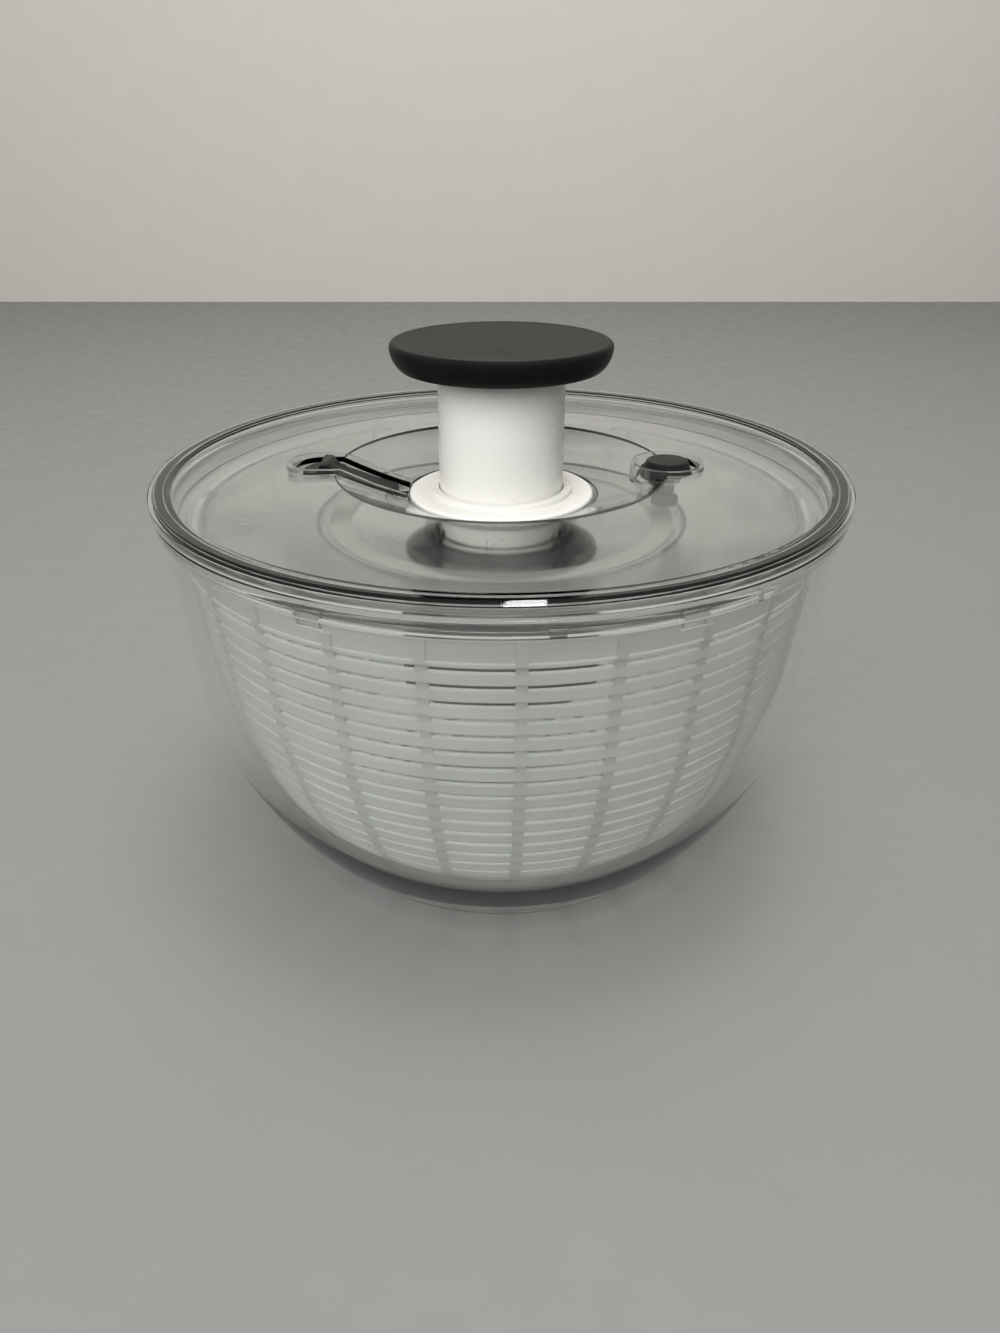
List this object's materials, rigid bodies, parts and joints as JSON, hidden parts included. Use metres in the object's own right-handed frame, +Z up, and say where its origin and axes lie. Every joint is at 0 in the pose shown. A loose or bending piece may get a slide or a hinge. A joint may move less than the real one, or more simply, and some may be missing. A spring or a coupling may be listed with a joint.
{
  "type": "salad spinner",
  "caption": "Round clear-bowl salad spinner with a slotted basket, a clear lid, a press-down knob drive, a sliding knob lock and a brake button.",
  "frame": {"origin": "centre of the bowl's base, on the surface it stands on", "axes": "+Z up along the knob's axis, +X from the centre towards the brake button, the lock slider lies towards -X"},
  "size_m": [0.267, 0.267, 0.2027],
  "materials": {
    "clear_plastic": "clear, moulded",
    "milky_plastic": "translucent, natural",
    "white_plastic": "glossy, off-white",
    "black_plastic": "fine texture",
    "black_grip": "matte soft grip",
    "grey_housing": "smoked, translucent",
    "frosted_track": "frosted",
    "pad_rubber": "matte",
    "spring_steel": "drawn wire",
    "drive_resin": "acetal, satin"
  },
  "bodies": {
    "bowl": {"bowl": "clear_plastic"},
    "basket": {"basket": "milky_plastic"},
    "lid": {"lid_top": "clear_plastic", "plug_ring": "clear_plastic", "collar": "white_plastic", "hub_tube": "clear_plastic", "brake_spring": "spring_steel"},
    "turntable": {"turntable": "clear_plastic", "brake_track": "frosted_track", "turntable_bearing": "frosted_track", "clutch_housing": "grey_housing", "clutch_ring": "drive_resin"},
    "plunger": {"plunger_tube": "white_plastic", "knob_core": "black_plastic", "knob_pad": "black_grip", "drive_nut": "drive_resin"},
    "screw": {"drive_screw": "drive_resin", "clutch_driver": "drive_resin", "thrust_washer": "drive_resin", "return_spring": "spring_steel"},
    "lock": {"lock_slider": "black_plastic"},
    "brake": {"brake_button": "black_plastic", "brake_pad": "pad_rubber"}
  },
  "joints": [
    {"name": "lid_lift", "type": "slide", "parent": "bowl", "child": "lid", "axis": [0, 0, 1], "range_m": [0, 0.1]},
    {"name": "basket_spin", "type": "hinge", "parent": "bowl", "child": "basket", "pos_m": [0, 0, 0.015], "axis": [0, 0, 1], "continuous": true},
    {"name": "turntable_spin", "type": "hinge", "parent": "lid", "child": "turntable", "pos_m": [0, 0, 0.124], "axis": [0, 0, 1], "continuous": true},
    {"name": "plunger_press", "type": "slide", "parent": "lid", "child": "plunger", "axis": [0, 0, -1], "range_m": [0, 0.044], "stiffness_N_per_m": 150, "springref_m": -0.03, "deforming": ["return_spring"]},
    {"name": "screw_spin", "type": "hinge", "parent": "lid", "child": "screw", "pos_m": [0, 0, 0.08], "axis": [0, 0, 1], "range_deg": [0, 470]},
    {"name": "lock_slide", "type": "slide", "parent": "lid", "child": "lock", "axis": [1, 0, 0], "range_m": [0, 0.004]},
    {"name": "brake_press", "type": "slide", "parent": "lid", "child": "brake", "axis": [0, 0, -1], "range_m": [0, 0.004], "stiffness_N_per_m": 600, "springref_m": -0.003, "deforming": ["brake_spring"]}
  ],
  "couplings": [
    {"joint": "turntable_spin", "follows": "basket_spin", "ratio": 1},
    {"joint": "screw_spin", "follows": "plunger_press", "rad_per_m": 184.8}
  ]
}
